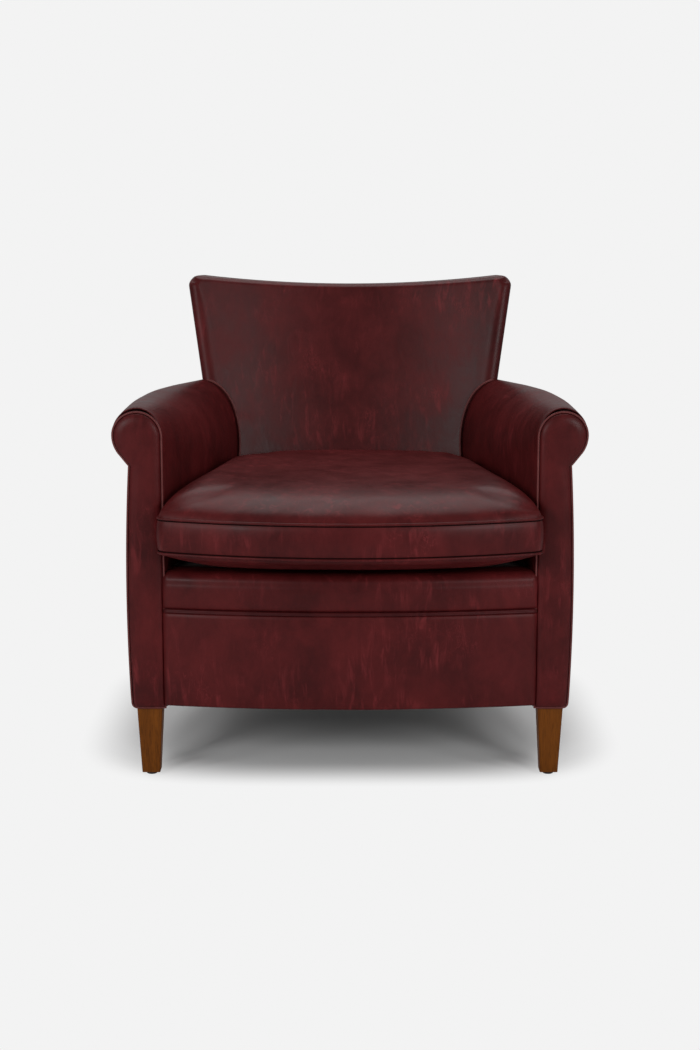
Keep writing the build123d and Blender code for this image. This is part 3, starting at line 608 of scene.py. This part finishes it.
def back_edge(z):
    """Half the back's width at a height."""
    climb = z - back_knee + back_knee_radius * math.tan(back_flare / 2)
    if climb <= 0:
        return back_half
    if climb < back_knee_radius * math.sin(back_flare):
        return back_half + sag(climb, back_knee_radius)
    return back_half + math.tan(back_flare) * (z - back_knee)


def ease(t):
    """Crowd the lines of a grid towards its edges."""
    return 0.5 * t + 0.5 * math.sin(math.pi / 2 * t)


def rounded(across, up, reach_across, reach_up):
    """Round the upper corners of a square, where across goes from -1 to 1 and up from 0 to 1."""
    a = (abs(across) - 1 + reach_across) / reach_across
    b = (up - 1 + reach_up) / reach_up
    if a <= 0 or b <= 0:
        return across, up
    turned_a, turned_b = a * math.sqrt(1 - b * b / 2), b * math.sqrt(1 - a * a / 2)
    across = math.copysign(1 - reach_across + turned_a * reach_across, across)
    return across, 1 - reach_up + turned_b * reach_up


def back_place(across, up, low, side_inset, top_inset, corner):
    """X and Z of a place in the back's outline, drawn in by two insets, with its upper corners rounded."""
    reach = corner * corner_reach
    across, up = rounded(across, up, reach / back_half, reach / (top_middle - low))
    x, z = 0.0, back_knee
    for _ in range(6):
        x = across * (back_edge(z) - side_inset * side_slant)
        z = low + up * (top_middle + sag(x, top_radius) - top_inset * top_slant - low)
    return x, z


def grow(bm, rim, spots):
    """Extrude an open rim once; each new corner takes over its old one's spot in the grid."""
    made = bmesh.ops.extrude_edge_only(bm, edges=rim)["geom"]
    fresh = {item for item in made if isinstance(item, bmesh.types.BMVert)}
    new_spots = {}
    for vert in fresh:
        old = next(e.other_vert(vert) for e in vert.link_edges if e.other_vert(vert) in spots)
        new_spots[vert] = spots[old]
    edges = [item for item in made if isinstance(item, bmesh.types.BMEdge)]
    return [e for e in edges if e.verts[0] in fresh and e.verts[1] in fresh], new_spots


def back_surface(u, v, wrap):
    """A place on the inside back: wrap goes from 0 on its front, over the roll, to 1 at the welt."""
    rolled = min(1, wrap / roll_share)
    turn = roll_turn * rolled
    rise = math.sin(turn) / math.sin(roll_turn)
    share = max(0, (wrap - roll_share) / (1 - roll_share))
    roll = side_roll - slimmer_top * max(0, (v - slimmer_from) / (1 - slimmer_from)) ** 2
    side = roll - (roll - side_slack) * rise - (side_slack - side_inset) * share
    top = top_roll * (1 - rise) + rear_drop * share**drop_power
    at_side = min(1, max(0, (abs(u) - side_from) / (1 - side_from)))
    back = (top_depth + (side_depth - top_depth) * at_side) * (1 - math.cos(turn))
    corner = front_corner + (rear_corner - front_corner) * wrap
    fold = math.exp(-(((abs(u) - 1) / pleat_reach) ** 2 + ((v - 1) / pleat_reach) ** 2))
    pleat = fold * pleat_depth * math.sin(math.pi * min(1, wrap * 1.4))
    x, z = back_place(u, v, back_tuck - back_roll * rolled, side + pleat, top + pleat, corner)
    near = front_depth(x, z) + back + ripple((x * 7, 3.1, z * 5), 0.0016) * (1 - wrap)
    far = rear_depth(x, z) - hem
    return Vector((x, arm_front + near + (far - near) * share, z))


bm = new_grid(80, 60)
spots = {}
for vert in bm.verts:
    u, v = ease(vert.co.x), (ease(vert.co.y) + 1) / 2
    if vert.is_boundary:
        spots[vert] = (u, v)
    vert.co = back_surface(u, v, 0)
rim = [edge for edge in bm.edges if edge.is_boundary]
over_the_roll = [k / 24 for k in range(1, 16)]
back_to_the_welt = [0.68, 0.76, 0.84, 0.92, 1]
for wrap in over_the_roll + back_to_the_welt:
    rim, spots = grow(bm, rim, spots)
    for vert, (u, v) in spots.items():
        vert.co = back_surface(u, v, wrap)
cap(bm, rim)
inside_back = new_piece(
    "inside_back_leather", bm, oxblood, "chair", "leather", "inside_back_cover", "back_pad"
)

# Outside back: a flat hide, sewn to the welt round its edge and tacked under the rear rail.
outside_foot, outside_inset, outside_top_inset, outside_corner = 0.1235, 0.0065, 0.008, 0.014
outside_thickness, outside_sunk, outside_swell = 0.0015, 0.0012, 0.0025
bm = new_grid(48, 56)
for vert in bm.verts:
    u, v = vert.co.x, vert.co.y
    x, z = back_place(
        ease(u), (ease(v) + 1) / 2, outside_foot, outside_inset, outside_top_inset, outside_corner
    )
    puff = outside_swell * (1 - u**4) * (1 - v**4) + ripple((x * 6, 9.2, z * 6), 0.0008)
    vert.co = (x, arm_front + rear_depth(x, z) - outside_sunk + puff, z)
area = sum(face.calc_area() for face in bm.faces)
bmesh.ops.solidify(bm, geom=bm.faces, thickness=outside_thickness)
outside_back = new_piece("outside_back_leather", bm, oxblood, "chair", "leather", "outside_back_cover")

# More welts: one runs round the outside back, and one is sewn into the joint of each arm and the back.
welt_foot, welt_inset, welt_drop, welt_sunk, welt_radius = 0.1245, 0.0042, 0.0022, 0.0015, 0.003
side_places, top_places = 60, 90
sides_up = [k / side_places for k in range(side_places + 1)]
outline = [(-1, v) for v in sides_up]
outline += [(-1 + 2 * k / top_places, 1) for k in range(1, top_places)]
outline += [(1, v) for v in sides_up[::-1]]
path = []
for u, v in outline:
    up = (ease(2 * v - 1) + 1) / 2
    x, z = back_place(ease(u), up, welt_foot, welt_inset, welt_drop + rear_drop, rear_corner)
    path.append(Vector((x, arm_front + rear_depth(x, z) - welt_sunk, z)))
bm = bmesh.new()
covered_cord(bm, path, welt_radius, Vector((0, 1, 0)))
# Its darker welt hide is painted shade.
new_piece("back_edge_welt", bm, oxblood_shaded_welt, "chair", "welt_leather", "back_welt")

joint_start, joint_margin, joint_in, joint_sunk, joint_radius = 12, 0.012, 0.0042, 0.0046, 0.0022
roll_limit, joint_guess = 0.03, 0.45


def rolled_front(x, z):
    """Depth of the back's front surface, with its rolled side edge."""
    past = min(roll_limit, max(0, abs(x) - back_edge(z) + side_roll)) / (side_roll - side_slack)
    return front_depth(x, z) + side_depth * (1 - math.sqrt(1 - past * past))


path = []
for step in range(joint_start, face_steps + 2 * roll_steps):
    depth = joint_guess
    for _ in range(30):
        x, _, z = arm_section(depth)[step]
        depth += 0.5 * (rolled_front(x, z) - depth)
    if abs(x) > back_edge(z) - joint_margin:
        break
    path.append(Vector((x - joint_in, arm_front + depth - joint_sunk, z)))
bm = bmesh.new()
covered_cord(bm, path, joint_radius, Vector((0.3, 1, -0.2)))
# Their lighter welt hide is a painted highlight.
both_sides("joint_welt", bm, painted_highlight_welt, "welt_leather")

# Front of the seat: a padded border rolls over the front edge onto the deck, an apron covers the rail
# below it, and a double welt is glued over the seam between them.
bow_half, bow_stations = 0.3075, 64


def across_front(bm, profile):
    """Carry a profile of (depth behind the bow, height) along the bowed front."""
    loops = []
    for k in range(bow_stations + 1):
        x = bow_half * (2 * k / bow_stations - 1)
        places = []
        for behind, z in profile:
            places.append((x, arm_front + bow(x) + behind + ripple((x * 9, 5.5, z * 9), 0.0012), z))
        loops.append(ring(bm, places))
    cap(bm, loops[0])
    join_rings(bm, loops)
    cap(bm, loops[-1])


def swollen(low, high, steps, amount, behind=0.0):
    """A profile's front between two seams, with a soft bulge."""
    shares = [k / steps for k in range(steps + 1)]
    return [(behind - amount * (1 - (2 * t - 1) ** 4), low + (high - low) * t) for t in shares]


border_foot, border_top, border_turn, border_end = 0.2898, 0.352, 0.018, 0.052
seam_room, border_swell, border_set_back = 0.003, 0.0018, 0.0004
border_hem = ((0.0045, 0), (0.0016, 0.0012))
profile = [(behind, border_foot + above) for behind, above in border_hem]
profile += swollen(border_foot + seam_room, border_top - border_turn, 12, border_swell, border_set_back)
for turn in quarter(8)[1:]:
    profile.append((border_turn * (1 - math.cos(turn)), border_top - border_turn * (1 - math.sin(turn))))
profile += [(border_turn + (border_end - border_turn) * k / 6, border_top) for k in range(1, 7)]
profile += [(border_end, border_foot + (border_top - border_foot) * share) for share in (0.66, 0.33, 0)]
profile += [(border_end * share, border_foot) for share in (0.75, 0.5, 0.25)]
bm = bmesh.new()
across_front(bm, profile)
border = new_piece("front_border_leather", bm, oxblood, "chair", "leather", "front_border", "front_edge_roll")

apron_foot, apron_head, apron_depth, apron_edge, apron_swell = 0.125, 0.2842, 0.0105, 0.004, 0.0016
apron_tuck = ((0.0012, -0.0012), (0.0048, 0), (0.0048, 0.008))
profile = swollen(apron_foot + apron_edge, apron_head - seam_room, 24, apron_swell)
profile += [(behind, apron_head + above) for behind, above in apron_tuck]
profile += [(apron_depth, apron_head - (apron_head - apron_foot) * share) for share in (-0.05, 0.33, 0.66, 1)]
for turn in quarter(5)[:-1]:
    profile.append((apron_edge * (1 - math.sin(turn)), apron_foot + apron_edge * (1 - math.cos(turn))))
bm = bmesh.new()
across_front(bm, profile)
apron = new_piece("front_apron_leather", bm, oxblood, "chair", "leather", "front_apron", "apron_pad")

pair_heights, pair_radius, pair_proud, pair_short, pair_steps = (0.2858, 0.2882), 0.0021, 0.0006, 0.002, 48
bm = bmesh.new()
for height in pair_heights:
    path = []
    for k in range(2 * pair_steps + 1):
        x = (bow_half - pair_short) * (k / pair_steps - 1)
        path.append(Vector((x, arm_front + bow(x) - pair_proud, height)))
    covered_cord(bm, path, pair_radius, Vector((0, 1, 0)))
# Their darker welt hide is painted shade.
new_piece("double_welt_cords", bm, oxblood_shaded_welt, "chair", "welt_leather", "double_welt")

# Seat cushion: a loose boxed cushion of foam in fibre, crowned on both faces, with a leather cover of two
# panels and a boxing band. Its seams are piped, and its front stands out past the arms.
cushion_front_half, cushion_rear_half, cushion_waist, cushion_past = 0.31276, 0.2127, 0.005, 0.2
cushion_front, cushion_front_corner, cushion_front_radius = -0.102, -0.045, 0.88657
cushion_rear, cushion_rear_corner, cushion_rear_radius = 0.46085, 0.42524, 0.653
front_rounding, rear_rounding, rounding_stretch, cushion_middle = 0.06, 0.05, 1.7, 0.18
seam_low, seam_high, crown_top, crown_bottom, deck_level = 0.393, 0.45, 0.4955, 0.3575, 0.3527
top_fullness, bottom_fullness, rear_fullness, front_fullness = (12, 0.25), (6, 0.42), (9, 0.42), (3.4, 0.52)
zip_reach, zip_from, band_swell, seam_tuck, seam_tuck_share = 0.186, 0.36, 0.003, 0.0022, 0.075
seam_share, same_place = 0.001, 0.00001


def cushion_edge(depth):
    """Half the cushion's width at a depth."""
    share = (depth - cushion_front_corner) / (cushion_rear_corner - cushion_front_corner)
    share = min(1 + cushion_past, max(-cushion_past, share))
    straight = cushion_front_half + (cushion_rear_half - cushion_front_half) * share
    return straight - cushion_waist * 4 * share * (1 - share)


def cushion_place(across, back):
    """X and depth of a place in the cushion's outline; both arguments go from -1 to 1."""
    reach = front_rounding if back < 0 else rear_rounding
    across, far = rounded(across, (abs(back) + 1) / 2, reach, reach / rounding_stretch)
    back = math.copysign(2 * far - 1, back)
    x, depth = 0.0, cushion_middle
    for _ in range(6):
        x = across * cushion_edge(depth)
        near = cushion_front + sag(x, cushion_front_radius)
        depth = near + (back + 1) / 2 * (cushion_rear - sag(x, cushion_rear_radius) - near)
    return x, depth


def full(place, squareness, steepness):
    """How full a crown is, from 1 in its middle to 0 at its edge."""
    return max(0, 1 - abs(place) ** squareness) ** steepness


bm = bmesh.new()
for seam, peak, fullness in ((seam_high, crown_top, top_fullness), (seam_low, crown_bottom, bottom_fullness)):
    made = bmesh.ops.create_grid(bm, x_segments=68, y_segments=60, size=1)
    for vert in made["verts"]:
        u, v = ease(vert.co.x), ease(vert.co.y)
        x, depth = cushion_place(u, v)
        crown = full(u, *fullness) * full(v, *(rear_fullness if v > 0 else front_fullness))
        vert.co = (x, arm_front + depth, seam + (peak - seam) * crown)
rim = [e for e in bm.edges if e.is_boundary and e.verts[0].co.z > (seam_low + seam_high) / 2]
for share in (0.05, 0.1, 0.18, 0.34, 0.5, 0.66, 0.82, 0.9, 0.95, 1):
    made = bmesh.ops.extrude_edge_only(bm, edges=rim)["geom"]
    fresh = {item for item in made if isinstance(item, bmesh.types.BMVert)}
    for vert in fresh:
        vert.co.z = seam_high - (seam_high - seam_low) * share
    edges = [item for item in made if isinstance(item, bmesh.types.BMEdge)]
    rim = [e for e in edges if e.verts[0] in fresh and e.verts[1] in fresh]
bmesh.ops.remove_doubles(bm, verts=bm.verts, dist=same_place)
bmesh.ops.recalc_face_normals(bm, faces=bm.faces)
for vert in bm.verts:
    level = (vert.co.z - seam_low) / (seam_high - seam_low)
    upright = all(abs(face.normal.z) < 0.5 for face in vert.link_faces)
    if upright and seam_share < level < 1 - seam_share:
        side = Vector((vert.normal.x, vert.normal.y, 0)).normalized()
        at_zip = abs(vert.co.x) < zip_reach and vert.co.y > arm_front + zip_from
        swell = 0 if at_zip else band_swell * (1 - (2 * level - 1) ** 2)
        vert.co += side * (swell - seam_tuck * math.exp(-((min(level, 1 - level) / seam_tuck_share) ** 2)))
cushion = new_piece(
    "cushion_leather", bm, oxblood, "cushion", "leather",
    "cushion_top_panel", "cushion_bottom_panel", "cushion_boxing", "cushion_core",
)
settle_frames, most_shift, seam_room_held = 20, 0.0025, 0.0004
mesh = cushion.data
start = [vert.co.copy() for vert in mesh.vertices]
held = cushion.vertex_groups.new(name="seams")
for vert in mesh.vertices:
    on_seam = min(abs(vert.co.z - seam_high), abs(vert.co.z - seam_low)) < seam_room_held
    at_zip = abs(vert.co.x) < zip_reach and vert.co.y > arm_front + zip_from
    if on_seam or (at_zip and seam_low < vert.co.z < seam_high):
        held.add([vert.index], 1.0, "REPLACE")
cloth = cushion.modifiers.new("cloth", "CLOTH")
cloth.settings.quality = 6
cloth.settings.mass = 0.4
cloth.settings.tension_stiffness = 25
cloth.settings.compression_stiffness = 25
cloth.settings.shear_stiffness = 12
cloth.settings.bending_stiffness = 10
cloth.settings.vertex_group_mass = "seams"
cloth.settings.use_pressure = True
cloth.settings.uniform_pressure_force = 4
cloth.settings.effector_weights.gravity = 0
cloth.collision_settings.use_collision = False
for step in range(1, settle_frames + 1):
    bpy.context.scene.frame_set(step)
settled = cushion.evaluated_get(bpy.context.evaluated_depsgraph_get()).to_mesh()
moved = [vert.co.copy() for vert in settled.vertices]
cushion.modifiers.remove(cloth)
bpy.context.scene.frame_set(1)
for vert, before, after in zip(mesh.vertices, start, moved):
    shift = after - before
    far = shift.length / most_shift
    vert.co = before + shift * (math.tanh(far) / max(far, 0.001))
    vert.co.z = max(vert.co.z, deck_level)
smooth = cushion.modifiers.new("smooth", "SUBSURF")
smooth.levels = smooth.render_levels = 1

# A thin dark cord beside each piping seam: its dark colour is painted shade, the shadow in the seam's groove.
seam_shadow_cord = plain_finish("dark cord painted as seam shadow", (0.008, 0.002, 0.002), 0.9, shine=0.05)
piping_radius, piping_steps, piping_spacing = 0.0022, 60, 0.0012
shadow_cord_radius, shadow_cord_sides, shadow_cord_offset = 0.0011, 8, 0.0031
edge_run = [ease(k / piping_steps - 1) for k in range(2 * piping_steps)]
outline = [(u, -1) for u in edge_run] + [(1, v) for v in edge_run]
outline += [(-u, 1) for u in edge_run] + [(-1, -v) for v in edge_run]
for label, height, band_side in (("top", seam_high, -shadow_cord_offset), ("bottom", seam_low, shadow_cord_offset)):
    path = []
    for u, v in outline:
        x, depth = cushion_place(u, v)
        spot = Vector((x, arm_front + depth, height))
        if not path or (spot - path[-1]).length > piping_spacing:
            path.append(spot)
    up = Vector((0, 0, 1))
    bm = bmesh.new()
    covered_cord(bm, path, piping_radius, up, closed=True)
    new_piece(f"cushion_{label}_cord", bm, oxblood, "cushion", "welt_leather", f"cushion_{label}_piping")
    # The dark cord beside the piping is painted shade for the seam's groove.
    bm = bmesh.new()
    thread = [spot + up * band_side for spot in path]
    covered_cord(bm, thread, shadow_cord_radius, up, closed=True, sides=shadow_cord_sides)
    new_piece(f"cushion_{label}_seam_shadow_cord", bm, seam_shadow_cord, "cushion", "welt_leather")

# Zip: a brass zip on a dark woven tape, sewn along the middle of the boxing at the cushion's rear.
# Its slider rests at one end.
zip_low, zip_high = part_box("zip_tape")
zip_half, zip_proud, zip_thickness = 0.17, 0.0004, 0.0006
reach = cushion_rear_radius + zip_proud
centre = arm_front + cushion_rear - cushion_rear_radius
bm = new_grid(60, 8)
for vert in bm.verts:
    turn = vert.co.x * zip_half / cushion_rear_radius
    z = zip_low.z + (vert.co.y + 1) / 2 * (zip_high.z - zip_low.z)
    vert.co = (reach * math.sin(turn), centre + reach * math.cos(turn), z)
bmesh.ops.solidify(bm, geom=bm.faces, thickness=-zip_thickness)
tape_weave = woven("zip tape weave", (0.06, 0.016, 0.016), 1500)
tape = new_piece("zip_tape_band", bm, tape_weave, "cushion", "zip_cloth", "zip_tape")
aged_brass = plain_finish("aged brass", (0.4, 0.27, 0.1), 0.4, metallic=1.0, speckle=0.3, scale=900)
dress(["zip_teeth", "zip_slider"], aged_brass)

# Studio: a pale floor that fades into a backdrop of the same pale colour beyond the chair's shadow, with a
# broad lamp overhead, and a small front lamp and an upright strip on each side. The camera stands where the
# photographer's did.
backdrop, floor_radius = 0.896, 14
shadow_middle, shadow_half_width, shadow_half_depth, shadow_from, shadow_to = 0.11, 0.4, 0.36, 0.68, 1.48
bm = bmesh.new()
bmesh.ops.create_circle(bm, cap_ends=True, segments=96, radius=floor_radius)
floor_mesh = bpy.data.meshes.new("studio_floor")
bm.to_mesh(floor_mesh)
bm.free()
floor = bpy.data.objects.new("studio_floor", floor_mesh)
bpy.context.collection.objects.link(floor)


def to_the_eye(tree):
    """The light path, and 1 for what the camera sees straight on or through glass."""
    rays = add_node(tree, "ShaderNodeLightPath", {}).outputs
    seen = {0: rays["Is Camera Ray"], 1: rays["Is Transmission Ray"]}
    return rays, add_node(tree, "ShaderNodeMath", seen, operation="MAXIMUM").outputs["Value"]


paper, tree, shader = new_material("studio paper")
feed(tree, shader, {"Base Color": (0.8, 0.8, 0.8, 1), "Roughness": 0.9, "Specular IOR Level": 0.1})
scale = (1 / shadow_half_width, 1 / shadow_half_depth, 0)
shift = (0, -shadow_middle / shadow_half_depth, 0)
footprint = {"Vector": own_place(tree), "Location": shift, "Scale": scale}
spot = add_node(tree, "ShaderNodeMapping", footprint).outputs["Vector"]
square = add_node(tree, "ShaderNodeVectorMath", {0: spot, 1: spot}, operation="MULTIPLY").outputs["Vector"]
far = add_node(tree, "ShaderNodeVectorMath", {0: square}, operation="LENGTH").outputs["Value"]
fade_values = {"Value": far, "From Min": shadow_from, "From Max": shadow_to}
fade = add_node(tree, "ShaderNodeMapRange", fade_values, interpolation_type="SMOOTHSTEP").outputs["Result"]
rays, seen = to_the_eye(tree)
amount = add_node(tree, "ShaderNodeMath", {0: fade, 1: seen}, operation="MULTIPLY").outputs["Value"]
glow = add_node(tree, "ShaderNodeEmission", {"Color": (backdrop, backdrop, backdrop, 1)})
layers = {0: amount, 1: shader.outputs["BSDF"], 2: glow.outputs["Emission"]}
blend = add_node(tree, "ShaderNodeMixShader", layers)
feed(tree, tree.nodes["Material Output"], {"Surface": blend.outputs["Shader"]})
floor_mesh.materials.append(paper)

air_strength, glossy_extra = 0.22, 0.2
world = bpy.data.worlds.new("studio air")
bpy.context.scene.world = world
world.use_nodes = True
tree = world.node_tree
rays, seen = to_the_eye(tree)
sheen = {0: rays["Is Glossy Ray"], 1: glossy_extra, 2: air_strength}
strength = add_node(tree, "ShaderNodeMath", sheen, operation="MULTIPLY_ADD").outputs["Value"]
air = tree.nodes["Background"]
feed(tree, air, {"Color": (1, 1, 1, 1), "Strength": strength})
pale = add_node(tree, "ShaderNodeBackground", {"Color": (backdrop, backdrop, backdrop, 1)})
skies = {0: seen, 1: air.outputs["Background"], 2: pale.outputs["Background"]}
choose = add_node(tree, "ShaderNodeMixShader", skies)
feed(tree, tree.nodes["World Output"], {"Surface": choose.outputs["Shader"]})


def soft_lamp(name, place, aim, width, height, power):
    """A rectangular soft lamp that faces a point."""
    lamp = bpy.data.lights.new(name, "AREA")
    lamp.shape = "RECTANGLE"
    lamp.size, lamp.size_y = width, height
    lamp.energy = power
    holder = bpy.data.objects.new(name, lamp)
    holder.location = place
    holder.rotation_euler = (Vector(aim) - Vector(place)).to_track_quat("-Z", "Y").to_euler()
    bpy.context.collection.objects.link(holder)


soft_lamp("overhead", (0, 0.8, 2.5), (0, 0, 0.4), width=2.4, height=1.5, power=30)
for side in (-1, 1):
    soft_lamp(f"front {side}", (side * 1.5, -2.4, 1.2), (0, 0, 0.45), width=0.7, height=0.7, power=21)
    soft_lamp(f"strip {side}", (side * 2.2, -1.7, 1.4), (0, 0, 0.5), width=0.3, height=1.6, power=8)

eye_distance, eye_height, eye_tilt = 3.276, 1.0032, math.radians(79.2)
camera_data = bpy.data.cameras.new("photographer")
camera_data.sensor_fit = "VERTICAL"
camera_data.sensor_height = 36
camera_data.lens = 64.29
camera = bpy.data.objects.new("photographer", camera_data)
camera.location = (0, -eye_distance, eye_height)
camera.rotation_euler = (eye_tilt, 0, 0)
bpy.context.collection.objects.link(camera)
bpy.context.scene.camera = camera
bpy.context.scene.view_settings.view_transform = "Standard"
